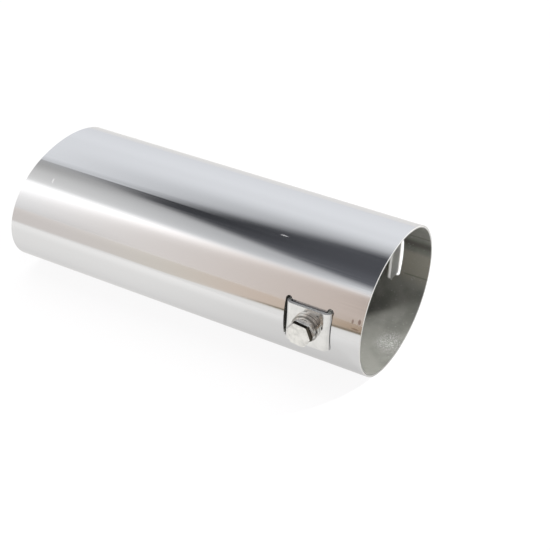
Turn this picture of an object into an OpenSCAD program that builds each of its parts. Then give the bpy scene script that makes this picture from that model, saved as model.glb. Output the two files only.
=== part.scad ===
// Clamp-on exhaust tip: an oval stainless tube with a slanted outlet, and a bolted clamp
// on each narrow side near the inlet that grips the tail pipe inside it.
// X runs along the tube: the inlet lies in the plane x = 0 and the outlet is towards -X.
// The origin is the centre of the inlet, +Z is up, and the tube lies on its wide side.
// The front clamp is on the -Y side and the back clamp is on the +Y side.

/* [Tube] */
// Outside width of the oval, along Y
tube_w = 75; // [66:1:100]
// Outside height of the oval, along Z
tube_h = 65; // [54:1:66]
// How much smaller the radius of the narrow sides is than half the height
side_drop = 1.17; // [0.8:0.01:3]
// Thickness of the tube's sheet
wall_t = 1.1; // [0.8:0.1:2]
// Length along the tube's axis, inlet to outlet
tube_l = 181.2; // [120:0.2:260]
// Slant of the outlet from square
cut_angle = 10.84; // [0:0.02:20]
// Direction of the outlet's short side, from +Y towards +Z
cut_turn = 66.7; // [0:0.1:90]

/* [Clamps] */
// Distance of the slots' middle from the inlet
clamp_x = 24.85; // [20:0.05:60]
// Turn of the line of the clamps about the tube's axis
clamp_turn = 5; // [0:0.5:10]
// Thickness of the clamp's sheet
sheet_t = 1.5; // [1:0.1:2]
// Width of the clamp along the tube, over its legs
clamp_w = 21.05; // [18:0.05:28]
// Height of the clamp's sheet, round the tube
clamp_h = 18.4; // [15:0.1:22]
// Outside radius of the bends
bend_r = 2.8; // [2.2:0.1:4]
// Length of each leg inside the tube's wall
leg_in = 9.6; // [5:0.1:12]
// Rounding of the legs' free corners
leg_corner_r = 2; // [0.5:0.1:4]
// Gap under the plate where it bears on the tube
seat_gap = 0.3; // [0.1:0.05:0.5]

/* [Slots] */
// Play of a leg in its slot along the tube
slot_play = 1.5; // [0.4:0.1:2.5]
// Play of a leg in its slot round the tube, both ends together
slot_end_play = 2.2; // [1:0.1:5]
// Least gap between a leg and the side of its slot
slot_clear = 0.15; // [0.05:0.05:0.2]

/* [Bolts] */
// Thread diameter
bolt_d = 6.3; // [6:0.1:8]
// Width of the head across its flats
head_af = 11.1; // [10:0.1:14]
// Height of the head
head_h = 4; // [3:0.1:6]
// Turn of the head about the bolt's axis
head_turn = -6; // [-30:1:30]
// Depth of the bevel round the head's corners, measured along the bolt
head_bevel = 0.5; // [0.2:0.1:1]
// Length of the bolt under its head
bolt_l = 25.4; // [20:0.1:28]
// Length of the bevel on the bolt's tip
tip_bevel = 1; // [0.4:0.1:1.4]
// Thickness of the plain washer and of the lock washer
washer_t = 1.6; // [1:0.1:2]
// Outside diameter of the plain washer
plain_washer_d = 12.6; // [11:0.1:16]
// Outside diameter of the lock washer
lock_washer_d = 11.4; // [10:0.1:12]
// Gap in the ring of the lock washer
lock_split = 0.9; // [0.5:0.1:1.5]
// Gap between the plain washer and the plate when the bolt is home
washer_seat = 0.05; // [0.02:0.01:0.1]
// Radial running clearance between the bolt and its collar
bolt_fit = 0.05; // [0.02:0.01:0.08]
// Wall of the collar drawn out of the plate
collar_t = 1.5; // [1:0.1:2.5]
// Depth of the collar below the plate
collar_h = 2.6; // [1:0.1:4]
// Gap round the collar where it passes the tube's wall
collar_gap = 0.6; // [0.3:0.1:1.5]

/* [Hidden] */
$fn = 96;

// The oval is four arcs, tangent where they meet: narrow sides of side_r, wide sides of flat_r
half_w = tube_w / 2;
half_h = tube_h / 2;
side_r = half_h - side_drop;
side_y = half_w - side_r;
flat_r = (side_y * side_y + half_h * half_h - side_r * side_r) / (2 * side_drop);
flat_z = flat_r - half_h;
meet_angle = atan2(flat_z, side_y);
// The wide arcs run on past the points of tangency by this much, so that each joint is one clean edge
arc_lap = 0.5;

// The clamps sit on the side arcs, whose crest at this turn gives the plate its seat
crest_r = side_y * cos(clamp_turn) + side_r;
plate_in = crest_r + seat_gap;
plate_out = plate_in + sheet_t;
leg_end = crest_r - wall_t - leg_in;
leg_pitch = clamp_w - sheet_t;
slot_w = sheet_t + slot_play;
slot_l = clamp_h + slot_end_play;
ride = slot_play / 2 - slot_clear;
bolt_hole_r = bolt_d / 2 + bolt_fit;
collar_room = leg_pitch / 2 - slot_w / 2 - ride - 0.8;
collar_r = min(bolt_hole_r + collar_t, collar_room - collar_gap);
bolt_seat = plate_out + washer_seat + 2 * washer_t;
cut = 2 * tube_w;

// The oval's outline, set in from the outside by a thickness
module oval(inset) {
    arc_r = flat_r - inset;
    intersection() {
        translate([0, -flat_z]) circle(r = arc_r);
        translate([0, flat_z]) circle(r = arc_r);
        square([2 * (arc_r * cos(meet_angle) + arc_lap), tube_h], center = true);
    }
    for (side = [-1, 1]) translate([side * side_y, 0]) circle(r = side_r - inset);
}

// Turns a shape drawn along +Z, with its width on X, so that it stands out of one side of the tube
module on_side(side, along) {
    turn = side < 0 ? 90 - clamp_turn : -90 - clamp_turn;
    translate([along, 0, 0]) rotate([turn, 0, 0]) children();
}

// A round-ended slot through one wall, drawn with its length on Y and its depth on Z
module slot_cut() {
    reach = half_w + wall_t;
    straight = slot_l - slot_w;
    translate([-slot_w / 2, -straight / 2, side_r / 2]) cube([slot_w, straight, reach]);
    for (end = [-1, 1]) translate([0, end * straight / 2, side_r / 2]) cylinder(d = slot_w, h = reach);
}

// Oval tube with its slanted outlet, two slots on each narrow side and a hole for each collar
module tube_shell() {
    color("gainsboro")
    difference() {
        translate([-tube_l - cut / 4, 0, 0]) rotate([90, 0, 90])
        linear_extrude(tube_l + cut / 4)
        difference() {
            oval(0);
            oval(wall_t);
        }
        translate([-tube_l, 0, 0]) rotate([cut_turn, 0, 0]) rotate([0, 0, -cut_angle])
        translate([-cut, -cut / 2, -cut / 2]) cube(cut);
        for (side = [-1, 1]) {
            for (leg = [-1, 1]) on_side(side, -clamp_x + leg * leg_pitch / 2) slot_cut();
            on_side(side, -clamp_x - side * ride)
            translate([0, 0, side_r / 2]) cylinder(r = collar_r + collar_gap, h = half_w);
        }
    }
}

// Outline of the bent sheet: X along the tube, Y out of the tube
module bracket_profile() {
    half = clamp_w / 2;
    difference() {
        union() {
            translate([-half, leg_end]) square([clamp_w, plate_out - bend_r - leg_end]);
            translate([-half + bend_r, leg_end]) square([clamp_w - 2 * bend_r, plate_out - leg_end]);
            for (end = [-1, 1]) translate([end * (half - bend_r), plate_out - bend_r]) circle(r = bend_r);
        }
        in_half = half - sheet_t;
        in_r = bend_r - sheet_t;
        translate([-in_half, leg_end - 1]) square([2 * in_half, plate_in - in_r - leg_end + 1]);
        translate([-in_half + in_r, leg_end - 1]) square([2 * (in_half - in_r), plate_in - leg_end + 1]);
        for (end = [-1, 1]) translate([end * (in_half - in_r), plate_in - in_r]) circle(r = in_r);
    }
}

// Side view of a leg, with its free corners rounded: X round the tube, Y out of the tube
module leg_outline() {
    half = clamp_h / 2;
    translate([-half, leg_end + leg_corner_r]) square([clamp_h, plate_out - leg_end]);
    translate([-half + leg_corner_r, leg_end]) square([clamp_h - 2 * leg_corner_r, plate_out - leg_end]);
    for (end = [-1, 1]) translate([end * (half - leg_corner_r), leg_end + leg_corner_r]) circle(r = leg_corner_r);
}

// Sheet bent into a U: the plate outside the tube, a leg through each slot, and the collar
module clamp_bracket(side) {
    on_side(side, -clamp_x - side * ride)
    difference() {
        union() {
            intersection() {
                rotate([90, 0, 0]) translate([0, 0, -clamp_h / 2]) linear_extrude(clamp_h) bracket_profile();
                rotate([90, 0, 90]) translate([0, 0, -clamp_w]) linear_extrude(2 * clamp_w) leg_outline();
            }
            translate([0, 0, plate_in - collar_h]) cylinder(r = collar_r, h = collar_h + sheet_t / 2);
        }
        translate([0, 0, plate_in - collar_h - 1]) cylinder(r = bolt_hole_r, h = collar_h + sheet_t + 2);
    }
}

// Hexagon bolt, drawn with its axis on Z and its tip towards the tube
module clamp_bolt(side) {
    corner_r = head_af / 2 / cos(30);
    face_r = corner_r - head_bevel * 1.73;
    on_side(side, -clamp_x - side * ride)
    union() {
        translate([0, 0, bolt_seat])
        intersection() {
            rotate([0, 0, head_turn]) cylinder(r = corner_r, h = head_h, $fn = 6);
            cylinder(r1 = face_r + head_h * 1.73, r2 = face_r, h = head_h);
        }
        translate([0, 0, bolt_seat - bolt_l + tip_bevel]) cylinder(d = bolt_d, h = bolt_l);
        translate([0, 0, bolt_seat - bolt_l])
        cylinder(d1 = bolt_d - 1.4 * tip_bevel, d2 = bolt_d, h = tip_bevel);
    }
}

// Plain washer between the plate and the lock washer
module plain_washer(side) {
    on_side(side, -clamp_x - side * ride)
    translate([0, 0, plate_out + washer_seat])
    difference() {
        cylinder(d = plain_washer_d, h = washer_t);
        translate([0, 0, -1]) cylinder(r = bolt_hole_r, h = washer_t + 2);
    }
}

// Lock washer under the head: a ring with one slanting gap
module lock_washer(side) {
    on_side(side, -clamp_x - side * ride)
    translate([0, 0, plate_out + washer_seat + washer_t])
    difference() {
        cylinder(d = lock_washer_d, h = washer_t);
        translate([0, 0, -1]) cylinder(r = bolt_hole_r, h = washer_t + 2);
        translate([0, 0, washer_t / 2]) rotate([30, 0, 0])
        translate([0, -lock_split / 2, -2 * washer_t]) cube([lock_washer_d, lock_split, 4 * washer_t]);
    }
}

module clamp_bracket_front() { color("silver") clamp_bracket(-1); }

module clamp_bracket_back() { color("silver") clamp_bracket(1); }

module clamp_bolt_front() { color("darkgray") clamp_bolt(-1); }

module clamp_bolt_back() { color("darkgray") clamp_bolt(1); }

module plain_washer_front() { color("silver") plain_washer(-1); }

module plain_washer_back() { color("silver") plain_washer(1); }

module lock_washer_front() { color("gray") lock_washer(-1); }

module lock_washer_back() { color("gray") lock_washer(1); }

tube_shell();
clamp_bracket_front();
clamp_bracket_back();
clamp_bolt_front();
clamp_bolt_back();
plain_washer_front();
plain_washer_back();
lock_washer_front();
lock_washer_back();
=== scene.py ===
"""A polished exhaust tip with two screw clamps, lying on a pale floor."""
import logging
from dataclasses import dataclass
from functools import cached_property, reduce

import bmesh
import bpy
import numpy as np
from mathutils import Matrix, Vector


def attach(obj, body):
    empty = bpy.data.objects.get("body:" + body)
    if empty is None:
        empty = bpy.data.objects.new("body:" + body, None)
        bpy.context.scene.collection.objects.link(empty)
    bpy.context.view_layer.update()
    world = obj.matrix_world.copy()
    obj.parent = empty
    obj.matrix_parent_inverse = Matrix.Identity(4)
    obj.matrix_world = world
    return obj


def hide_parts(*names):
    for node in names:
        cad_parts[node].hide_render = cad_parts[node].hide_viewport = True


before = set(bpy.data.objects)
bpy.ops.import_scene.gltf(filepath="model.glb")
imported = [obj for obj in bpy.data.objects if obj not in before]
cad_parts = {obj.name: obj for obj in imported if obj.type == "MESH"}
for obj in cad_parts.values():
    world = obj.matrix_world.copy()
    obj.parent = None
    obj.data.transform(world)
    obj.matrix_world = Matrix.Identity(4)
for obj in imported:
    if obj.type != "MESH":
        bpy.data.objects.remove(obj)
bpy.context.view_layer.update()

log = logging.getLogger("exhaust_tip")

Triple = tuple[float, float, float]
Socket = bpy.types.NodeSocket

MM = 0.001
FLOOR_Z = -32.5 * MM
MERGE_WITHIN = 1e-6


def smooth(low: float | np.ndarray, high: float | np.ndarray, value: np.ndarray) -> np.ndarray:
    """Eases from 0 at low to 1 at high: t*t*(3 - 2t), with t the clipped share of the way.

    Args:
        low: where the ease starts.
        high: where it ends.
        value: the points to ease.

    Returns:
        An array from 0 to 1.
    """
    t = np.clip((value - low) / (high - low), 0.0, 1.0)
    return t * t * (3.0 - 2.0 * t)


def bell(value: np.ndarray, centre: float | np.ndarray, reach: float | np.ndarray) -> np.ndarray:
    """A bell curve, exp(-((value - centre) / reach)^2)."""
    return np.exp(-((value - centre) / reach) ** 2)


def blend(under: np.ndarray, over: np.ndarray, share: np.ndarray) -> np.ndarray:
    """Mixes two sets of colours by a share for each point."""
    part = share[..., None]
    return under * (1.0 - part) + over * part


def opaque(tone: np.ndarray) -> np.ndarray:
    """Adds the fourth channel, 1, to linear colours."""
    return np.concatenate([tone, np.ones_like(tone[..., :1])], axis=-1)


def rgba(colour: Triple, level: float = 1.0) -> tuple[float, ...]:
    """A colour at a level, with the fourth channel that sockets want."""
    return tuple(level * c for c in colour) + (1.0,)


def grid_faces(rows: int, cols: int, closed: bool = False) -> np.ndarray:
    """Quads of a grid whose points run row by row.

    Args:
        rows: number of point rows.
        cols: points in each row.
        closed: joins the last point of each row to its first.

    Returns:
        An (n, 4) array of point numbers.
    """
    r = np.arange(rows - 1)[:, None]
    c = np.arange(cols if closed else cols - 1)[None, :]
    n = (c + 1) % cols
    quads = np.stack([r * cols + c, r * cols + n, (r + 1) * cols + n, (r + 1) * cols + c], axis=-1)
    return quads.reshape(-1, 4)


def mesh_object(name: str, points: np.ndarray, faces: np.ndarray, flat: bool = False) -> bpy.types.Object:
    """Puts a numpy surface into the scene.

    Args:
        name: the object's name.
        points: its places in metres, along the last axis.
        faces: (m, 4) point numbers.
        flat: leaves the faces flat shaded.

    Returns:
        The new object, at the origin.
    """
    mesh = bpy.data.meshes.new(name)
    mesh.from_pydata(points.reshape(-1, 3).tolist(), [], faces.tolist())
    mesh.polygons.foreach_set("use_smooth", np.full(len(mesh.polygons), not flat))
    mesh.update()
    obj = bpy.data.objects.new(name, mesh)
    bpy.context.scene.collection.objects.link(obj)
    return obj


def weld(mesh: bpy.types.Mesh) -> None:
    """Merges the points that lie on each other, which closes a surface at its poles.

    Args:
        mesh: the surface to close.
    """
    work = bmesh.new()
    work.from_mesh(mesh)
    bmesh.ops.remove_doubles(work, verts=work.verts, dist=MERGE_WITHIN)
    work.to_mesh(mesh)
    work.free()


class Nodes:
    """A short way to write a node tree. Values may be numbers or sockets."""

    def __init__(self, tree: bpy.types.NodeTree) -> None:
        """Empties the tree and keeps it."""
        self.tree = tree
        tree.nodes.clear()

    def add(self, kind: str, inputs: dict | None = None, **settings: object) -> bpy.types.Node:
        """Adds a node.

        Args:
            kind: the node's type name.
            inputs: socket name or number to a value, or to a socket that is linked in.
            settings: attributes of the node.

        Returns:
            The node.
        """
        node = self.tree.nodes.new(kind)
        for key, value in settings.items():
            setattr(node, key, value)
        for key, value in (inputs or {}).items():
            if isinstance(value, Socket):
                self.tree.links.new(value, node.inputs[key])
            else:
                node.inputs[key].default_value = value
        return node

    def math(self, operation: str, a: object, b: object = 0.0) -> Socket:
        """Adds a Math node and returns its output."""
        return self.add("ShaderNodeMath", {0: a, 1: b}, operation=operation).outputs[0]

    def times(self, a: object, b: object) -> Socket:
        """Multiplies two values."""
        return self.math("MULTIPLY", a, b)

    def most(self, a: object, b: object) -> Socket:
        """The larger of two values."""
        return self.math("MAXIMUM", a, b)

    def rest(self, share: object) -> Socket:
        """What a share leaves of 1."""
        return self.math("SUBTRACT", 1.0, share)

    def apart(self, a: object, b: object) -> Socket:
        """How far two values are apart."""
        return self.math("ABSOLUTE", self.math("SUBTRACT", a, b))

    def ramp(self, value: object, low: float, high: float, start: float = 0.0, end: float = 1.0) -> Socket:
        """Eases from start to end as a value goes from low to high."""
        inputs = {"Value": value, "From Min": low, "From Max": high, "To Min": start, "To Max": end}
        return self.add("ShaderNodeMapRange", inputs, interpolation_type="SMOOTHSTEP").outputs[0]

    def mix(self, share: object, a: object, b: object) -> Socket:
        """Mixes two colours and returns the output."""
        return self.add("ShaderNodeMix", {0: share, 6: a, 7: b}, data_type="RGBA").outputs[2]

    def between(self, share: object, a: object, b: object) -> Socket:
        """Mixes two plain values and returns the output."""
        return self.add("ShaderNodeMix", {0: share, 2: a, 3: b}).outputs[0]

    def vector(self, operation: str, a: object, b: object = (0.0, 0.0, 0.0)) -> Socket:
        """Adds a Vector Math node and returns its vector."""
        return self.add("ShaderNodeVectorMath", {0: a, 1: b}, operation=operation).outputs[0]

    def measure(self, operation: str, a: object, b: object = (0.0, 0.0, 0.0)) -> Socket:
        """Adds a Vector Math node and returns its number: a length, or a dot product."""
        return self.add("ShaderNodeVectorMath", {0: a, 1: b}, operation=operation).outputs["Value"]

    @cached_property
    def place(self) -> Socket:
        """The shaded point in the object's own coordinates, in metres."""
        return self.add("ShaderNodeTexCoord").outputs["Object"]

    @cached_property
    def axes(self) -> tuple[Socket, ...]:
        """The shaded point's x, y and z."""
        return tuple(self.add("ShaderNodeSeparateXYZ", {0: self.place}).outputs)

    def noise(self, scale: float, detail: float) -> Socket:
        """Soft cloudy noise of the given fineness."""
        inputs = {"Vector": self.place, "Scale": scale, "Detail": detail}
        return self.add("ShaderNodeTexNoise", inputs).outputs[0]

    def lines(self, scale: Triple) -> Socket:
        """Noise drawn out into fine lines along the axis with the smallest scale."""
        drawn = self.add("ShaderNodeMapping", {"Vector": self.place, "Scale": scale}).outputs[0]
        return self.add("ShaderNodeTexNoise", {"Vector": drawn, "Scale": 1.0, "Detail": 3.0}).outputs[0]

    def bump(self, height: Socket, distance: float, strength: object, normal: Socket | None = None) -> Socket:
        """Turns a normal, or the surface's own, by a height."""
        inputs = {"Height": height, "Distance": distance, "Strength": strength, "Normal": normal}
        return self.add("ShaderNodeBump", {k: v for k, v in inputs.items() if v is not None}).outputs[0]

    def rays(self, *kinds: str) -> Socket:
        """1 for rays of any of the kinds, such as Camera, and 0 for the rest."""
        path = self.add("ShaderNodeLightPath").outputs
        return reduce(self.most, (path[f"Is {kind} Ray"] for kind in kinds))

    def metal(self, inputs: dict) -> None:
        """Adds the metal's shader and the material's output."""
        shader = self.add("ShaderNodeBsdfPrincipled", inputs).outputs[0]
        self.add("ShaderNodeOutputMaterial", {"Surface": shader})


def new_finish(name: str) -> tuple[bpy.types.Material, Nodes]:
    """Starts a material with an empty node tree.

    Args:
        name: the material's name.

    Returns:
        The material and its nodes.
    """
    material = bpy.data.materials.new(name)
    material.use_nodes = True
    return material, Nodes(material.node_tree)


def dress(node: str, material: bpy.types.Material) -> None:
    """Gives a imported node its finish.

    Args:
        node: the node's name.
        material: the finish.
    """
    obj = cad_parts[node]
    obj.data.materials.clear()
    obj.data.materials.append(material)


@dataclass(frozen=True)
class Mark:
    """A small oval mark on the polish: full within its core's share of the reach, and gone at the reach.

    Its place and reach are in millimetres.
    """

    place: Triple
    reach: Triple
    colour: Triple
    share: float
    core: float = 0.4

    def amount(self, nodes: Nodes) -> Socket:
        """The mark's share at the shaded point.

        Args:
            nodes: the material's nodes.

        Returns:
            The share.
        """
        off = nodes.vector("SUBTRACT", nodes.place, tuple(c * MM for c in self.place))
        off = nodes.vector("DIVIDE", off, tuple(c * MM for c in self.reach))
        return nodes.ramp(nodes.measure("LENGTH", off), 1.0, self.core, 0.0, self.share)


SCRATCH = (0.95, 0.95, 0.95)
SMUDGE = (0.16, 0.07, 0.045)
SCRATCHES = (
    Mark((-46.8, -17.3, 29.25), (2.6, 0.36, 0.36), SCRATCH, 0.38),
    Mark((-165.3, -25.5, 24.75), (0.6, 1.8, 1.7), SCRATCH, 0.5),
)
SMUDGES = (
    Mark((-1.6, -35.1, 12.0), (0.9, 1.5, 1.6), SMUDGE, 0.6),
    Mark((-4.6, -35.1, 11.4), (0.7, 1.5, 1.3), SMUDGE, 0.5),
    Mark((-3.0, -36.0, 8.6), (2.2, 1.5, 0.6), SMUDGE, 0.35),
)


@dataclass(frozen=True)
class TubeSection:
    """The tube's oval and its two ends, by which the finish tells its faces apart.

    The outer oval is two narrow arcs about (+-side_y, 0) and two wide arcs about (0, -+flat_z), which
    meet at +-meet_y. The outlet's plane is where a place's dot product with outlet_normal is outlet_at.
    """

    side_r: float = 31.33 * MM
    side_y: float = 6.17 * MM
    flat_r: float = 48.18 * MM
    flat_z: float = 15.68 * MM
    meet_y: float = 17.64 * MM
    wall: float = 1.1 * MM
    outlet_normal: Triple = (-0.98216, 0.07439, 0.17273)
    outlet_at: float = 177.967 * MM
    end_skin: float = 0.02 * MM
    roll_from: float = 0.75
    roll: float = 0.9

    def depth(self, nodes: Nodes) -> Socket:
        """Distance from the outer face: 0 on it and -wall on the inner one.

        Args:
            nodes: the material's nodes.

        Returns:
            The distance in metres.
        """
        y, z = (nodes.math("ABSOLUTE", axis) for axis in nodes.axes[1:])
        side = nodes.add("ShaderNodeCombineXYZ", {0: nodes.math("SUBTRACT", y, self.side_y), 1: z}).outputs[0]
        flat = nodes.add("ShaderNodeCombineXYZ", {0: y, 1: nodes.math("ADD", z, self.flat_z)}).outputs[0]
        past_side = nodes.math("SUBTRACT", nodes.measure("LENGTH", side), self.side_r)
        past_flat = nodes.math("SUBTRACT", nodes.measure("LENGTH", flat), self.flat_r)
        return nodes.math("MINIMUM", past_side, nodes.most(past_flat, nodes.math("SUBTRACT", y, self.meet_y)))

    def cut_edge(self, nodes: Nodes) -> Socket:
        """Finds the two cut edges: the inlet's, in the plane x = 0, and the slanted outlet's.

        Args:
            nodes: the material's nodes.

        Returns:
            1 on them and 0 elsewhere.
        """
        inlet = nodes.math("GREATER_THAN", nodes.axes[0], -self.end_skin)
        height = nodes.measure("DOT_PRODUCT", nodes.place, self.outlet_normal)
        return nodes.most(inlet, nodes.math("GREATER_THAN", height, self.outlet_at - self.end_skin))

    def rolled(self, nodes: Nodes, edge: Socket, depth: Socket) -> Socket:
        """The surface normal, turned outwards over the outer part of a cut edge, as on deburred sheet.

        Args:
            nodes: the material's nodes.
            edge: 1 on the cut edges.
            depth: distance from the outer face.

        Returns:
            The normal.
        """
        normal = nodes.add("ShaderNodeNewGeometry").outputs["Normal"]
        outwards = nodes.vector("NORMALIZE", nodes.vector("MULTIPLY", nodes.place, (0.0, 1.0, 1.0)))
        share = nodes.times(nodes.ramp(depth, -self.roll_from * self.wall, 0.0, 0.0, self.roll), edge)
        tilt = nodes.add("ShaderNodeVectorMath", {0: outwards, "Scale": share}, operation="SCALE").outputs[0]
        return nodes.vector("NORMALIZE", nodes.vector("ADD", normal, tilt))


@dataclass(frozen=True)
class InnerFace:
    """The tube's dull inner face, with the weld's colours, a painted shade line, and a painted highlight patch
    by the inlet.
    """

    dull: Triple = (0.215, 0.215, 0.195)
    dull_range: tuple[float, float] = (0.80, 1.06)
    straw: Triple = (0.30, 0.285, 0.24)
    # Colour of the weld's dark band and of the painted shade line.
    heat_and_shade: Triple = (0.08, 0.077, 0.065)
    # Colour of the speckle and of the painted highlight patch by the inlet.
    fleck_and_glint: Triple = (0.46, 0.46, 0.44)
    seam_z: float = 5.8 * MM
    seam_half: float = 2.6 * MM
    trace_z: float = 11.0 * MM
    # Height of the painted shade line.
    shade_line_z: float = -11.0 * MM
    # Place, stretch and grain of the painted highlight patch low inside the inlet.
    inlet_glint_at: Triple = (-5.0 * MM, 7.0 * MM, -30.5 * MM)
    inlet_glint_scale: Triple = (140.0, 140.0, 60.0)
    inlet_glint_grain: float = 1700.0

    def seam(self, nodes: Nodes) -> tuple[Socket, Socket]:
        """The lengthwise weld, on the inner face at +Y.

        Args:
            nodes: the material's nodes.

        Returns:
            The weld's dark scorch band's share, a bell over z about seam_z with a fine trace above it, and the
            straw tint's share below it.
        """
        y, z = nodes.axes[1:]
        back = nodes.math("GREATER_THAN", y, 0.0)
        off = nodes.math("DIVIDE", nodes.math("SUBTRACT", z, self.seam_z), self.seam_half)
        band = nodes.math("EXPONENT", nodes.times(nodes.times(off, off), -1.0))
        trace = nodes.ramp(nodes.apart(z, self.trace_z), 0.7 * MM, 0.1 * MM, 0.0, 0.6)
        upper, lower = nodes.ramp(z, 2.0 * MM, -1.0 * MM), nodes.ramp(z, -16.0 * MM, -9.0 * MM)
        return nodes.times(nodes.most(band, trace), back), nodes.times(nodes.times(upper, lower), back)

    def shade_line(self, nodes: Nodes) -> Socket:
        """A short fine line of painted shade along the inner face at +Y, near the inlet.

        Args:
            nodes: the material's nodes.

        Returns:
            The line's share.
        """
        x, y, z = nodes.axes
        line = nodes.ramp(nodes.apart(z, self.shade_line_z), 0.45 * MM, 0.1 * MM)
        line = nodes.times(line, nodes.math("GREATER_THAN", y, 0.0))
        return nodes.times(line, nodes.ramp(x, -13.0 * MM, -10.0 * MM))

    def inlet_glint(self, nodes: Nodes) -> Socket:
        """A painted highlight low inside the inlet: a grainy bright oval that fades outwards.

        Args:
            nodes: the material's nodes.

        Returns:
            The share.
        """
        off = nodes.vector("MULTIPLY", nodes.vector("SUBTRACT", nodes.place, self.inlet_glint_at), self.inlet_glint_scale)
        grain = nodes.ramp(nodes.noise(self.inlet_glint_grain, 1.0), 0.40, 0.72, 0.12, 1.0)
        return nodes.times(nodes.ramp(nodes.measure("LENGTH", off), 1.3, 0.2), grain)

    def colour(self, nodes: Nodes, cloud: Socket, grain: Socket) -> Socket:
        """The face's colour: mottled, then tinted by the weld, darkened by a painted shade line, then flecked
        and brightened by a painted highlight patch.

        Args:
            nodes: the material's nodes.
            cloud: the noise that mottles it.
            grain: the noise that speckles it.

        Returns:
            The colour.
        """
        darker, paler = (rgba(self.dull, level) for level in self.dull_range)
        band, straw = self.seam(nodes)
        colour = nodes.mix(nodes.ramp(cloud, 0.35, 0.65), darker, paler)
        colour = nodes.mix(nodes.times(straw, 0.8), colour, rgba(self.straw))
        colour = nodes.mix(nodes.times(band, 0.85), colour, rgba(self.heat_and_shade))
        # Painted shade: a fine dark line near the inlet.
        colour = nodes.mix(nodes.times(self.shade_line(nodes), 0.45), colour, rgba(self.heat_and_shade))
        # Speckle, and the painted highlight patch by the inlet, in the same pale colour.
        flecks_and_glint = nodes.math("ADD", nodes.ramp(grain, 0.62, 0.78, 0.0, 0.4), self.inlet_glint(nodes))
        return nodes.mix(flecks_and_glint, colour, rgba(self.fleck_and_glint))


@dataclass(frozen=True)
class TubeSteel:
    """The tube's finishes on one sheet: polished with fine lines outside, dull inside, bright where cut."""

    section: TubeSection = TubeSection()
    inner: InnerFace = InnerFace()
    polish: Triple = (0.71, 0.715, 0.73)
    tint: Triple = (0.80, 0.80, 0.81)
    cut: Triple = (0.80, 0.80, 0.79)
    # Levels of the cut colour: painted highlight at the top, painted shade at the inner face.
    cut_top_highlight: float = 1.22
    cut_inner_shade: float = 0.5
    rough_polish: tuple[float, float] = (0.07, 0.15)
    rough_dull: tuple[float, float] = (0.38, 0.52)
    rough_cut: float = 0.22
    haze: float = 0.72
    scratch_haze: float = 0.6
    line_scale: Triple = (9.0, 1400.0, 1400.0)
    cloud_scale: float = 110.0
    grain_scale: float = 900.0

    def polish_colour(self, nodes: Nodes) -> Socket:
        """The outer face's colour, with its marks.

        Args:
            nodes: the material's nodes.

        Returns:
            The colour.
        """
        colour: object = rgba(self.polish)
        for mark in SCRATCHES + SMUDGES:
            colour = nodes.mix(mark.amount(nodes), colour, rgba(mark.colour))
        return colour

    def cut_colour(self, nodes: Nodes, depth: Socket) -> Socket:
        """The cut edges' colour: a painted highlight towards the top and painted shade towards the inner face.

        Args:
            nodes: the material's nodes.
            depth: distance from the outer face.

        Returns:
            The colour.
        """
        # Painted highlight towards the top of the cut edges, painted shade towards the inner face.
        high = nodes.ramp(nodes.axes[2], 2.0 * MM, 20.0 * MM)
        colour = nodes.mix(high, rgba(self.cut), rgba(self.cut, self.cut_top_highlight))
        outer = nodes.ramp(depth, -self.section.wall, -0.35 * self.section.wall)
        return nodes.mix(outer, rgba(self.cut, self.cut_inner_shade), colour)

    def material(self) -> bpy.types.Material:
        """Builds the finish. A point is on the outer face beyond the middle of the wall.

        Returns:
            The material.
        """
        material, nodes = new_finish("polished_tube_steel")
        depth = self.section.depth(nodes)
        edge = self.section.cut_edge(nodes)
        outside = nodes.math("GREATER_THAN", depth, -self.section.wall / 2)
        inside = nodes.rest(outside)
        lines = nodes.lines(self.line_scale)
        cloud = nodes.noise(self.cloud_scale, 5.0)
        grain = nodes.noise(self.grain_scale, 2.0)
        shine = nodes.ramp(lines, 0.3, 0.7, *self.rough_polish)
        satin = nodes.ramp(cloud, 0.3, 0.7, *self.rough_dull)
        rough = nodes.math("ADD", nodes.times(shine, outside), nodes.times(satin, inside))
        rough = nodes.most(rough, nodes.times(edge, self.rough_cut))
        colour = nodes.mix(outside, self.inner.colour(nodes, cloud, grain), self.polish_colour(nodes))
        colour = nodes.mix(edge, colour, self.cut_colour(nodes, depth))
        haze = nodes.times(nodes.times(inside, self.haze), nodes.rest(edge))
        scratched = nodes.times(nodes.most(*(mark.amount(nodes) for mark in SCRATCHES)), outside)
        haze = nodes.most(haze, nodes.times(scratched, self.scratch_haze))
        normal = nodes.bump(lines, 0.1 * MM, 0.02, self.section.rolled(nodes, edge, depth))
        normal = nodes.bump(grain, 0.2 * MM, nodes.times(inside, 0.12), normal)
        nodes.metal({"Base Color": colour, "Metallic": nodes.rest(haze), "Roughness": rough, "Normal": normal,
                     "Specular Tint": rgba(self.tint)})
        return material


@dataclass
class TipTube:
    """The oval tube: polished outside, dull inside."""

    steel: TubeSteel = TubeSteel()

    def build(self) -> None:
        """Dresses the tube."""
        dress("tube_shell", self.steel.material())
        log.info("tube dressed")


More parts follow.
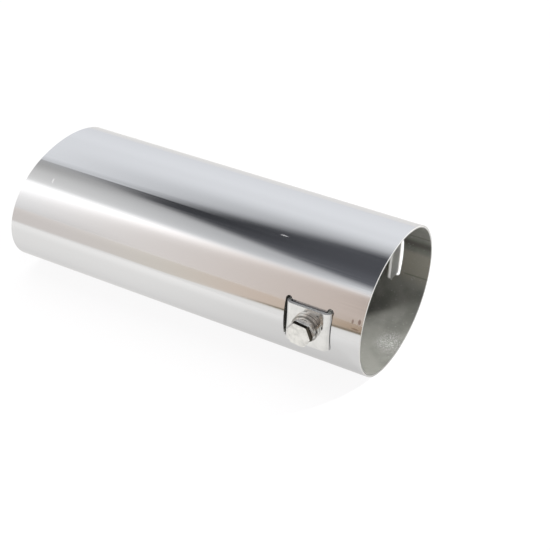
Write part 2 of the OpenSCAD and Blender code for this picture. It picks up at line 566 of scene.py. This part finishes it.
@dataclass(frozen=True)
class ClampAxes:
    """The clamp's own directions: out along its bolt, along the tube, and round it.

    A place's reach is its distance out along the bolt, and its rise is its distance round the tube.
    """

    tilt: float = np.radians(5.0)

    def reach(self, nodes: Nodes) -> Socket:
        """Distance out along the bolt, in metres, the same for both clamps."""
        out = (0.0, float(np.cos(self.tilt)), float(-np.sin(self.tilt)))
        return nodes.math("ABSOLUTE", nodes.measure("DOT_PRODUCT", nodes.place, out))

    def rise(self, nodes: Nodes) -> Socket:
        """Distance round the tube from the bolt, in metres, without its sign."""
        up = (0.0, float(np.sin(self.tilt)), float(np.cos(self.tilt)))
        return nodes.math("ABSOLUTE", nodes.measure("DOT_PRODUCT", nodes.place, up))

    def directions(self, side: str) -> tuple[np.ndarray, np.ndarray, np.ndarray]:
        """The clamp's directions as unit vectors.

        Args:
            side: front or back.

        Returns:
            Out along the bolt, along +X, and round the tube.
        """
        out = np.array([0.0, -np.cos(self.tilt), np.sin(self.tilt)])
        up = np.array([0.0, np.sin(self.tilt), np.cos(self.tilt)])
        sign = 1.0 if side == "front" else -1.0
        return sign * out, np.array([1.0, 0.0, 0.0]), sign * up


@dataclass(frozen=True)
class BracketSheet:
    """The bracket's finish: bright outside the tube, duller on the legs inside it, with rough cut edges; the
    legs and their ends are also coloured darker as painted shade.
    """

    bright: Triple = (0.76, 0.76, 0.755)
    bright_low: float = 0.93
    # Painted shade: the legs inside the tube take a darker colour than the same sheet outside.
    leg: Triple = (0.30, 0.30, 0.285)
    cut: Triple = (0.84, 0.84, 0.83)
    # Painted shade: the legs' ends take a dimmer level of the cut colour.
    end_level: float = 0.68
    side_at: float = 9.17 * MM
    end_at: float = 26.84 * MM
    dull_from: float = 36.4 * MM
    dull_full: float = 35.2 * MM
    rough_bright: tuple[float, float] = (0.10, 0.20)
    rough_leg: float = 0.5
    rough_cut: float = 0.3
    haze_leg: float = 0.6
    haze_side: float = 0.06
    lean_span: tuple[float, float] = (-16.3 * MM, -15.5 * MM)
    lean_by: tuple[float, float] = (0.1, 0.8)
    cloud_scale: float = 260.0
    line_scale: Triple = (1500.0, 120.0, 120.0)
    axes: ClampAxes = ClampAxes()

    def leaning(self, nodes: Nodes, end_cut: Socket) -> Socket:
        """The surface normal, turned towards +X on the legs' ends, most on the inlet's side of the nearer leg.

        Args:
            nodes: the material's nodes.
            end_cut: 1 on the legs' ends.

        Returns:
            The normal.
        """
        normal = nodes.add("ShaderNodeNewGeometry").outputs["Normal"]
        lean = nodes.times(end_cut, nodes.ramp(nodes.axes[0], *self.lean_span, *self.lean_by))
        lean = nodes.add("ShaderNodeCombineXYZ", {0: lean}).outputs[0]
        return nodes.vector("NORMALIZE", nodes.vector("ADD", normal, lean))

    def material(self) -> bpy.types.Material:
        """Builds the finish.

        Returns:
            The material.
        """
        material, nodes = new_finish("bright_bent_sheet")
        reach, rise = self.axes.reach(nodes), self.axes.rise(nodes)
        inside = nodes.ramp(reach, self.dull_from, self.dull_full)
        side_cut = nodes.math("GREATER_THAN", rise, self.side_at)
        end_cut = nodes.math("LESS_THAN", reach, self.end_at)
        cut = nodes.most(side_cut, end_cut)
        cloud = nodes.noise(self.cloud_scale, 4.0)
        lines = nodes.lines(self.line_scale)
        bright = nodes.mix(nodes.ramp(cloud, 0.35, 0.7), rgba(self.bright), rgba(self.bright, self.bright_low))
        # Painted shade: the legs inside the tube and their ends are coloured darker.
        colour = nodes.mix(inside, bright, rgba(self.leg))
        colour = nodes.mix(cut, colour, rgba(self.cut))
        colour = nodes.mix(end_cut, colour, rgba(self.cut, self.end_level))
        rough = nodes.most(nodes.ramp(lines, 0.3, 0.7, *self.rough_bright), nodes.times(inside, self.rough_leg))
        rough = nodes.most(nodes.times(rough, nodes.rest(end_cut)), nodes.times(cut, self.rough_cut))
        haze = nodes.times(nodes.times(inside, nodes.rest(cut)), self.haze_leg)
        haze = nodes.math("ADD", haze, nodes.times(side_cut, self.haze_side))
        normal = nodes.bump(cloud, 0.2 * MM, 0.06, self.leaning(nodes, end_cut))
        normal = nodes.bump(lines, 0.1 * MM, 0.08, normal)
        nodes.metal({"Base Color": colour, "Metallic": nodes.rest(haze), "Roughness": rough, "Normal": normal})
        return material


@dataclass(frozen=True)
class BoltPlating:
    """Bright plating, dark with soiling and painted contact shade where the head and the washers meet, and with
    a painted dark reflection on the head's upper bevels.

    The bevels lie between bevel_from and bevel_to out along the bolt. From corner_x towards +X they
    start corner_drop lower. The painted dark reflection begins at dark_reflection_from in the direction
    dark_reflection_way.
    """

    colour: Triple = (0.76, 0.755, 0.735)
    colour_low: float = 0.82
    # Colour of the soiling and painted shade in the joints, and of the painted dark reflection on the bevels.
    soil_and_painted_dark: Triple = (0.05, 0.043, 0.03)
    joints: tuple[float, ...] = (39.33 * MM, 40.93 * MM, 42.53 * MM)
    joint_half: float = 0.26 * MM
    joint_share: float = 0.5
    bevel_from: float = 45.4 * MM
    bevel_to: float = 46.5 * MM
    corner_x: float = -20.5 * MM
    corner_drop: float = 0.8 * MM
    # Where the painted dark reflection lies on the bevels, how it fades, and how dark it is.
    dark_reflection_way: Triple = (0.588, 0.0705, 0.806)
    dark_reflection_from: float = -14.26 * MM
    dark_reflection_fade: tuple[float, float] = (1.5 * MM, 2.7 * MM)
    dark_reflection_share: float = 0.97
    rough: tuple[float, float] = (0.12, 0.24)
    haze: float = 0.09
    cloud_scale: float = 420.0
    axes: ClampAxes = ClampAxes()

    def joint_soil_and_shade(self, nodes: Nodes, reach: Socket) -> Socket:
        """The soiling and painted contact shade in the joints between the washers and the head.

        Args:
            nodes: the material's nodes.
            reach: distance out along the bolt.

        Returns:
            The share.
        """
        dark: object = 0.0
        for joint in self.joints:
            away = nodes.apart(reach, joint)
            dark = nodes.most(dark, nodes.ramp(away, self.joint_half, 0.4 * self.joint_half))
        return nodes.times(dark, self.joint_share)

    def dark_reflection(self, nodes: Nodes, reach: Socket) -> Socket:
        """The painted dark reflection on the head's upper bevels.

        Args:
            nodes: the material's nodes.
            reach: distance out along the bolt.

        Returns:
            The share.
        """
        starts = nodes.ramp(nodes.axes[0], self.corner_x, self.corner_x + 0.2 * MM,
                            self.bevel_from, self.bevel_from - self.corner_drop)
        bevel = nodes.math("GREATER_THAN", reach, starts)
        bevel = nodes.times(bevel, nodes.math("LESS_THAN", reach, self.bevel_to))
        upper = nodes.measure("DOT_PRODUCT", nodes.place, self.dark_reflection_way)
        upper = nodes.math("SUBTRACT", upper, self.dark_reflection_from)
        return nodes.times(bevel, nodes.ramp(upper, *self.dark_reflection_fade))

    def material(self) -> bpy.types.Material:
        """Builds the finish.

        Returns:
            The material.
        """
        material, nodes = new_finish("bolt_plating")
        reach = self.axes.reach(nodes)
        dark, dark_reflection = self.joint_soil_and_shade(nodes, reach), self.dark_reflection(nodes, reach)
        cloud = nodes.noise(self.cloud_scale, 4.0)
        clean = nodes.mix(nodes.ramp(cloud, 0.4, 0.75), rgba(self.colour), rgba(self.colour, self.colour_low))
        # Soiling and painted shade in the joints, and the painted dark reflection on the bevels.
        colour = nodes.mix(nodes.most(dark, nodes.times(dark_reflection, self.dark_reflection_share)), clean, rgba(self.soil_and_painted_dark))
        metal = nodes.rest(nodes.times(nodes.rest(dark_reflection), self.haze))
        rough = nodes.math("ADD", nodes.ramp(cloud, 0.3, 0.7, *self.rough), nodes.times(dark, 0.3))
        normal = nodes.bump(cloud, 0.1 * MM, 0.15)
        nodes.metal({"Base Color": colour, "Metallic": metal, "Roughness": rough, "Normal": normal})
        return material


@dataclass(frozen=True)
class ThreadedBolt:
    """A quarter-inch bolt with 20 turns of thread to the inch and a bevelled hexagon head.

    seat and tip are how far out the head's underside and the shank's end lie, point is the tip's bevel,
    under is the head's bevel at the washer, and corner is the radius that rounds off the hexagon.
    """

    seat: float = 42.53 * MM
    tip: float = 17.13 * MM
    crest: float = 3.15 * MM
    root: float = 2.47 * MM
    pitch: float = 1.27 * MM
    point: float = 1.0 * MM
    flats: float = 11.1 * MM
    head: float = 4.0 * MM
    head_turn: float = -6.0
    under: float = 0.2 * MM
    bevel_drop: float = 0.95 * MM
    bevel_in: float = 0.62 * MM
    corner: float = 6.28 * MM
    around: int = 72
    rows_a_turn: int = 10
    sharp_from: float = 28.0

    def thread(self, angle: np.ndarray) -> tuple[np.ndarray, np.ndarray]:
        """The shank's rows, from the tip up to the head.

        The share of a turn is height over pitch less angle over a full turn, without its whole part. The
        radius rises from root to crest and falls again over that share, flat at both for a tenth of it, and
        is held inside the tip's cone.

        Args:
            angle: the points' angles.

        Returns:
            Radii and heights, a row for each level.
        """
        count = int((self.seat - self.tip) / self.pitch * self.rows_a_turn) + 1
        height = np.linspace(self.tip, self.seat, count)[:, None] + 0.0 * angle
        share = np.mod(height / self.pitch - angle / (2.0 * np.pi), 1.0)
        rise = np.interp(share, [0.0, 0.05, 0.45, 0.55, 0.95, 1.0], [0.0, 0.0, 1.0, 1.0, 0.0, 0.0])
        radius = self.root + (self.crest - self.root) * rise
        return np.minimum(radius, self.crest - self.point + (height - self.tip)), height

    def head_rows(self, angle: np.ndarray) -> tuple[np.ndarray, np.ndarray]:
        """The head's rows, from under it to its middle.

        Its outline's radius is half the flats over the cosine of the angle from the nearest flat's
        middle, and no more than corner. A straight bevel joins the sides to the flat top.

        Args:
            angle: the points' angles.

        Returns:
            Radii and heights, a row for each level.
        """
        off = np.mod(angle, np.pi / 3.0) - np.pi / 6.0
        outline = np.minimum(self.flats / 2.0 / np.cos(off), self.corner)
        inner = outline * (1.0 - self.bevel_in / (self.flats / 2.0))
        level = np.zeros_like(outline)
        rows = [(outline - self.under, 0.0), (outline, self.under), (outline, self.head - self.bevel_drop),
                (inner, self.head), (inner * 0.5, self.head), (level, self.head)]
        return np.stack([row for row, _ in rows]), np.stack([level + rise for _, rise in rows]) + self.seat

    def build(self, side: str, centre_x: float, axes: ClampAxes) -> bpy.types.Object:
        """Builds the bolt in its place.

        Args:
            side: front or back.
            centre_x: where its axis crosses X.
            axes: the clamp's directions.

        Returns:
            The bolt.
        """
        angle = np.linspace(0.0, 2.0 * np.pi, self.around, endpoint=False)
        shank, shank_height = self.thread(angle)
        head, head_height = self.head_rows(angle)
        radius = np.concatenate([np.zeros((1, self.around)), shank, head])
        height = np.concatenate([shank_height[:1], shank_height, head_height])
        turned = angle + np.radians(self.head_turn)
        out, along, up = axes.directions(side)
        across, round_it = (radius * part(turned) for part in (np.cos, np.sin))
        points = across[..., None] * along + round_it[..., None] * up + height[..., None] * out
        points = points + (centre_x, 0.0, 0.0)
        bolt = mesh_object("threaded_bolt_" + side, points, grid_faces(len(radius), self.around, closed=True))
        weld(bolt.data)
        bolt.data.set_sharp_from_angle(angle=np.radians(self.sharp_from))
        return bolt


@dataclass
class ScrewClamp:
    """One bracket, its bolt and the two washers."""

    side: str
    centre_x: float
    sheet: BracketSheet = BracketSheet()
    plating: BoltPlating = BoltPlating()
    screw: ThreadedBolt = ThreadedBolt()
    axes: ClampAxes = ClampAxes()

    def build(self) -> None:
        """Dresses the bracket and the washers, and puts the threaded bolt in the plain one's place."""
        dress("clamp_bracket_" + self.side, self.sheet.material())
        plating = self.plating.material()
        for node in ("clamp_bolt_", "plain_washer_", "lock_washer_"):
            dress(node + self.side, plating)
        bolt = self.screw.build(self.side, self.centre_x, self.axes)
        bolt.data.materials.append(plating)
        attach(bolt, "bolt_" + self.side)
        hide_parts("clamp_bolt_" + self.side)
        log.info("%s clamp dressed", self.side)


@dataclass(frozen=True)
class PhotoCamera:
    """The camera, placed where the photograph was taken."""

    place: Triple = (0.15757, -0.38770, 0.32301)
    right: Triple = (0.871, 0.492, 0.0)
    look: Triple = (-0.395, 0.700, -0.595)
    lens: float = 78.79
    sensor: float = 36.0
    shift_y: float = -0.00545

    def build(self) -> None:
        """Adds the camera and makes it the scene's."""
        data = bpy.data.cameras.new("photo_camera")
        data.sensor_fit, data.sensor_width = "HORIZONTAL", self.sensor
        data.lens, data.shift_y = self.lens, self.shift_y
        data.clip_start, data.clip_end = 0.01, 20.0
        camera = bpy.data.objects.new("photo_camera", data)
        look = Vector(self.look).normalized()
        right = Vector(self.right).normalized()
        turn = Matrix((right, right.cross(look), -look)).transposed().to_4x4()
        camera.matrix_world = Matrix.Translation(self.place) @ turn
        bpy.context.scene.collection.objects.link(camera)
        bpy.context.scene.camera = camera


@dataclass(frozen=True)
class PaperFloor:
    """The wide pale sheet under the tip, which keeps a faint shadow.

    The camera sees it as part matt and part glowing. In the polish it glows at a level that rises
    towards the outlet, towards the camera and behind the tip.
    """

    half: float = 3.0
    matt: Triple = (0.9, 0.9, 0.9)
    seen_share: float = 0.86
    seen_tint: Triple = (1.0, 0.995, 0.998)
    seen_level: float = 1.02
    mirrored_share: float = 0.96
    mirrored_tint: Triple = (1.0, 0.985, 0.955)
    mirrored_level: tuple[float, float] = (0.84, 1.02)
    front_more: float = 0.09
    back_level: float = 1.10

    def build(self) -> None:
        """Adds the floor as part of the stage."""
        signs = np.array([[-1, -1, 0], [1, -1, 0], [1, 1, 0], [-1, 1, 0]])
        floor = mesh_object("floor", signs * self.half + [0, 0, FLOOR_Z], np.array([[0, 1, 2, 3]]), flat=True)
        material, nodes = new_finish("floor_paper")
        seen, mirrored = nodes.rays("Camera"), nodes.rays("Glossy", "Transmission")
        share = nodes.times(seen, self.seen_share)
        share = nodes.math("ADD", share, nodes.times(mirrored, self.mirrored_share))
        x, y, _ = nodes.axes
        level = nodes.math("ADD", nodes.ramp(x, 0.0, -0.15, *self.mirrored_level),
                           nodes.ramp(y, -0.06, -0.09, 0.0, self.front_more))
        level = nodes.between(nodes.ramp(y, -0.02, 0.06), level, self.back_level)
        level = nodes.between(seen, level, self.seen_level)
        tint = nodes.mix(seen, rgba(self.mirrored_tint), rgba(self.seen_tint))
        matt = nodes.add("ShaderNodeBsdfDiffuse", {"Color": rgba(self.matt)}).outputs[0]
        glow = nodes.add("ShaderNodeEmission", {"Color": tint, "Strength": level}).outputs[0]
        both = nodes.add("ShaderNodeMixShader", {0: share, 1: matt, 2: glow}).outputs[0]
        nodes.add("ShaderNodeOutputMaterial", {"Surface": both})
        floor.data.materials.append(material)


def glow_card(name: str, points: np.ndarray, tone: np.ndarray) -> None:
    """A glowing sheet of the room that only reflections show.

    Args:
        name: the object's name.
        points: its grid of places, row by row.
        tone: a linear colour for each point.
    """
    card = mesh_object(name, points, grid_faces(*points.shape[:2]))
    layer = card.data.color_attributes.new("tone", "FLOAT_COLOR", "POINT")
    layer.data.foreach_set("color", tone.reshape(-1))
    material, nodes = new_finish(name)
    colour = nodes.add("ShaderNodeAttribute", attribute_name="tone").outputs["Color"]
    glow = nodes.add("ShaderNodeEmission", {"Color": colour, "Strength": 1.0}).outputs[0]
    nodes.add("ShaderNodeOutputMaterial", {"Surface": glow})
    card.data.materials.append(material)
    card.visible_camera = card.visible_diffuse = card.visible_shadow = card.visible_transmission = False


@dataclass(frozen=True)
class LightTent:
    """The room that the polish mirrors: a half barrel round the X axis.

    White cloth, with a dark gap overhead that widens towards the inlet, a bright lamp in front of it
    that fades towards the inlet, and a warm room below that down to the table. The tone is a formula of
    the place along X and of the turn, in degrees from -Y upwards. far runs from 0, which the inlet's end
    mirrors, to 1, which the outlet's end mirrors.
    """

    radius: float = 1.5
    half_length: float = 3.0
    rows: int = 363
    cols: int = 121
    near_x: float = -0.51
    span: float = 0.72
    cold: Triple = (0.95, 0.965, 0.99)
    plain: Triple = (0.975, 0.968, 0.95)
    gap_tint: Triple = (1.0, 1.03, 1.15)
    warm_near: Triple = (0.73, 0.615, 0.54)
    warm_more: Triple = (0.33, 0.43, 0.49)
    low_wall: Triple = (0.64, 0.53, 0.45)
    dark_door: Triple = (0.06, 0.045, 0.035)

    def cloth(self, far: np.ndarray, turn: np.ndarray) -> np.ndarray:
        """The cloth: pale behind, greyer in front of the gap, cold near the inlet and plain far from it.

        Args:
            far: 0 at the inlet's end and 1 at the outlet's.
            turn: degrees from -Y upwards.

        Returns:
            Linear colours.
        """
        full = np.clip(far, 0.0, 1.0)
        white = blend(np.array(self.cold), np.array(self.plain), full * (1.0 - smooth(84.0, 100.0, turn)))
        behind = 1.0 - 0.56 * (1.0 - full) * (1.0 - smooth(108.0, 134.0, turn))
        behind = behind + 0.06 * smooth(138.0, 152.0, turn)
        grey = np.interp(turn, [50.0, 60.0, 72.0, 84.0, 90.0, 102.0], [0.86, 0.74, 0.64, 0.46, 0.44, 0.72])
        grey = grey * (0.84 + 0.16 * full + 0.17 * smooth(0.25, 0.85, far))
        over = smooth(96.0, 104.0, turn)
        return (behind * over + grey * (1.0 - over))[..., None] * white

    def warm_room(self, far: np.ndarray, turn: np.ndarray) -> np.ndarray:
        """The warm room below the lamp, paler far off, where it also darkens towards the table.

        Args:
            far: 0 at the inlet's end and 1 at the outlet's.
            turn: degrees from -Y upwards.

        Returns:
            Linear colours.
        """
        warm = np.array(self.warm_near) + np.array(self.warm_more) * far[..., None]
        slope = np.interp(turn, [0.0, 4.0, 16.0, 28.0, 38.0], [-0.17, -0.10, 0.0, 0.12, 0.10])
        return warm * (1.0 + slope * smooth(0.55, 0.85, far))[..., None]

    def lamp_glow(self, far: np.ndarray, turn: np.ndarray) -> np.ndarray:
        """The lamp's added light: a bell over the turn, wider below and brighter far off.

        Args:
            far: 0 at the inlet's end and 1 at the outlet's.
            turn: degrees from -Y upwards.

        Returns:
            Its level.
        """
        centre = 46.0 + 4.5 * np.exp(-far / 0.30)
        spread = np.where(turn < centre, 5.0 + 9.0 * far, 4.4 + 0.9 * far)
        level = 0.20 + 0.25 * np.exp(-far / 0.05) + 0.46 * smooth(0.15, 0.70, far)
        return bell(turn, centre, spread) * level

    def gap(self, far: np.ndarray, turn: np.ndarray) -> tuple[np.ndarray, np.ndarray]:
        """The dark gap, between a lower and an upper border that close up far off.

        Args:
            far: 0 at the inlet's end and 1 at the outlet's.
            turn: degrees from -Y upwards.

        Returns:
            Its share and its colours.
        """
        start, end = 60.0 + 37.5 * far, 114.4 - 25.2 * far
        share = smooth(start - 4.0, start + 4.0, turn) * (1.0 - smooth(end - 6.0, end + 5.0, turn))
        share = share * (1.0 - 0.42 * smooth(0.58, 0.74, far))
        level = (0.102 - 0.050 * smooth(0.0, 0.5, far)) * (1.35 - 0.45 * smooth(start, 92.0, turn))
        return share, level[..., None] * np.array(self.gap_tint)

    def inlet_side(self, tone: np.ndarray, along: np.ndarray, turn: np.ndarray) -> np.ndarray:
        """What the inlet, the bolt and the bracket mirror: a low wall, a dim front, a bulb and a door.

        Args:
            tone: the colours so far.
            along: place along X in metres.
            turn: degrees from -Y upwards.

        Returns:
            The colours with these in them.
        """
        wall = smooth(-0.545, -0.515, along) * (1.0 - smooth(5.0, 11.0, turn))
        tone = blend(tone, np.array(self.low_wall), wall)
        front = smooth(-0.50, -0.40, along) * smooth(8.0, 20.0, turn) * (1.0 - smooth(50.0, 64.0, turn))
        bulb = bell(along, 0.82, 0.12) * bell(turn, 43.0, 5.0)
        tone = tone * (1.0 - 0.55 * front[..., None]) + bulb[..., None]
        door = smooth(-0.30, 0.0, along) * (1.0 - smooth(12.0, 20.0, turn))
        return blend(tone, np.array(self.dark_door), door)

    def tone(self, along: np.ndarray, turn: np.ndarray) -> np.ndarray:
        """The tent's brightness and colour.

        Args:
            along: place along X in metres.
            turn: degrees from -Y upwards.

        Returns:
            An array of linear colours with a last axis of 4.
        """
        far = np.clip((self.near_x - along) / self.span, 0.0, 1.2)
        tone = blend(self.cloth(far, turn), self.warm_room(far, turn), 1.0 - smooth(42.0, 54.0, turn))
        tone = tone + self.lamp_glow(far, turn)[..., None]
        share, gap = self.gap(far, turn)
        return opaque(self.inlet_side(blend(tone, gap, share), along, turn))

    def build(self) -> None:
        """Adds the barrel, from just above the table in front, over the top, and down to the axis behind."""
        places = np.linspace(-self.half_length, self.half_length, self.cols)
        turn, along = np.meshgrid(np.linspace(-1.0, 180.0, self.rows), places, indexing="ij")
        rad = np.radians(turn)
        points = np.stack([along, -self.radius * np.cos(rad), self.radius * np.sin(rad)], axis=-1)
        glow_card("light_tent", points, self.tone(along, turn))


@dataclass(frozen=True)
class WoodenTable:
    """The table in front of the paper's slanted edge, browner towards +X, that the polish mirrors, as a glowing
    card.

    Its tone follows the spot on the tube that mirrors each point, in millimetres along X, so each row of
    edge_outs and of wood starts with such a spot.
    """

    level: float = FLOOR_Z + 0.5 * MM
    half_length: float = 2.5
    depth: float = 1.3
    rows: int = 241
    cols: int = 181
    paper_front: float = -0.095
    paper: Triple = (1.0, 0.985, 0.955)
    side_y: float = -0.0365
    drift: float = 0.332
    spread: float = 2.12
    edge_guess: float = -0.15
    edge_steps: int = 14
    edge_outs: tuple[tuple[float, float], ...] = (
        (-180.0, -0.102), (-100.0, -0.107), (-75.0, -0.115), (-52.0, -0.129),
        (-42.0, -0.140), (-12.0, -0.159), (-8.0, -0.166), (0.0, -0.185))
    wood: tuple[tuple[float, Triple], ...] = (
        (-150.0, (0.81, 0.758, 0.719)), (-100.0, (0.81, 0.758, 0.678)), (-50.0, (0.775, 0.642, 0.542)),
        (-12.0, (0.673, 0.54, 0.416)), (-8.0, (0.53, 0.41, 0.30)), (0.0, (0.42, 0.30, 0.20)))

    def mirror_spot(self, along: np.ndarray, out: np.ndarray) -> np.ndarray:
        """The spot on the tube, along X in millimetres, that mirrors a point of the table to the camera."""
        reach = self.side_y - out
        return (along + self.drift * reach) / (1.0 + self.spread * reach) / MM

    def paper_edge(self, spot: np.ndarray) -> np.ndarray:
        """Where the paper ends along Y, for a spot on the tube."""
        return np.interp(spot, *zip(*self.edge_outs))

    def row_places(self, along: np.ndarray, share: np.ndarray) -> np.ndarray:
        """Rows of the table that run along the paper's edge and crowd at it.

        The edge's place is found by stepping back and forth between the two functions above. A share
        from -1 to 0 runs from the paper's front to the edge, and one from 0 to 1 out to the table's far
        side, both with its square.

        Args:
            along: place along X in metres.
            share: row shares from -1 to 1.

        Returns:
            Places along Y.
        """
        edge = np.full_like(along, self.edge_guess)
        for _ in range(self.edge_steps):
            edge = self.paper_edge(self.mirror_spot(along, edge))
        near = edge + (self.paper_front - edge) * share ** 2
        return np.where(share < 0.0, near, edge - self.depth * share ** 2)

    def tone(self, along: np.ndarray, out: np.ndarray) -> np.ndarray:
        """The table's tone, paler far out by the outlet, with the paper up to its edge and a dark line of
        painted shadow beyond.

        Args:
            along: place along X in metres.
            out: place along Y in metres.

        Returns:
            An array of linear colours with a last axis of 4.
        """
        spot = self.mirror_spot(along, out)
        spots, shades = zip(*self.wood)
        wood = np.stack([np.interp(spot, spots, shade) for shade in zip(*shades)], axis=-1)
        edge = self.paper_edge(spot)
        paler = 0.09 * smooth(0.0, 0.5, edge - out) * (1.0 - smooth(-130.0, -70.0, spot))
        paper = smooth(edge - 3.0 * MM, edge + 3.0 * MM, out)
        tone = blend(wood * (1.0 + paler)[..., None], np.array(self.paper), paper)
        # Painted shadow of the paper's edge: a dark line on the table just beyond it.
        width = 0.011 + 0.008 * smooth(-12.0, -6.0, spot)
        line = 0.88 * bell(out, edge - width, width) * smooth(-54.0, -43.0, spot)
        return opaque(tone * (1.0 - line[..., None] * np.array([1.0, 1.0, 1.1])))

    def build(self) -> None:
        """Adds the table, just above the floor."""
        places = np.linspace(-self.half_length, self.half_length, self.cols)
        share, along = np.meshgrid(np.linspace(-1.0, 1.0, self.rows), places, indexing="ij")
        out = self.row_places(along, share)
        points = np.stack([along, out, np.full_like(along, self.level)], axis=-1)
        glow_card("table", points, self.tone(along, out))


@dataclass(frozen=True)
class Lamp:
    """A lamp that faces a point, and that the metal doesn't show."""

    name: str
    place: Triple
    aim: Triple
    energy: float

    def hang(self, data: bpy.types.Light) -> None:
        """Puts the lamp in its place.

        Args:
            data: the lamp's light.
        """
        data.energy = self.energy
        lamp = bpy.data.objects.new(self.name, data)
        turn = (Vector(self.aim) - Vector(self.place)).to_track_quat("-Z", "Y")
        lamp.matrix_world = Matrix.Translation(self.place) @ turn.to_matrix().to_4x4()
        lamp.visible_glossy = False
        lamp.visible_camera = False
        bpy.context.scene.collection.objects.link(lamp)

    def soft(self, size: float) -> None:
        """Adds it as a soft square lamp.

        Args:
            size: its side in metres.
        """
        data = bpy.data.lights.new(self.name, "AREA")
        data.shape, data.size = "SQUARE", size
        self.hang(data)

    def narrow(self, angle: float, size: float) -> None:
        """Adds it as a narrow soft-edged spot.

        Args:
            angle: its cone's full angle in degrees.
            size: its radius in metres.
        """
        data = bpy.data.lights.new(self.name, "SPOT")
        data.spot_size, data.spot_blend, data.shadow_soft_size = np.radians(angle), 0.5, size
        self.hang(data)


@dataclass
class Studio:
    """The camera, the pale floor, the lamps, and the room that the polish mirrors."""

    camera: PhotoCamera = PhotoCamera()
    floor: PaperFloor = PaperFloor()
    tent: LightTent = LightTent()
    table: WoodenTable = WoodenTable()
    overhead: Lamp = Lamp("soft_lamp", (-0.3, 0.2, 1.6), (-0.3, 0.2, 0.0), 14.0)
    into_inlet: Lamp = Lamp("inlet_spot", (0.57, 0.54, 0.68), (-0.01, 0.0, -0.01), 300.0)
    soft_light: float = 0.8

    def world(self) -> None:
        """White behind the object and in its reflections, plain soft light for the rest."""
        world = bpy.data.worlds.new("studio_world")
        bpy.context.scene.world = world
        world.use_nodes = True
        nodes = Nodes(world.node_tree)
        strength = nodes.ramp(nodes.rays("Camera", "Glossy", "Transmission"), 0.0, 1.0, self.soft_light, 1.0)
        back = nodes.add("ShaderNodeBackground", {"Color": rgba((1.0, 1.0, 1.0)), "Strength": strength})
        nodes.add("ShaderNodeOutputWorld", {"Surface": back.outputs[0]})

    def build(self) -> None:
        """Sets up the whole studio."""
        bpy.context.scene.view_settings.view_transform = "Standard"
        self.camera.build()
        self.world()
        self.floor.build()
        self.overhead.soft(size=1.6)
        self.into_inlet.narrow(angle=8.0, size=0.11)
        self.tent.build()
        self.table.build()
        log.info("studio ready")


def main() -> None:
    """Builds the studio and the pieces in order."""
    logging.basicConfig(level=logging.INFO)
    Studio().build()
    TipTube().build()
    ScrewClamp("front", -24.25 * MM).build()
    ScrewClamp("back", -25.45 * MM).build()


if __name__ == "__main__":
    main()
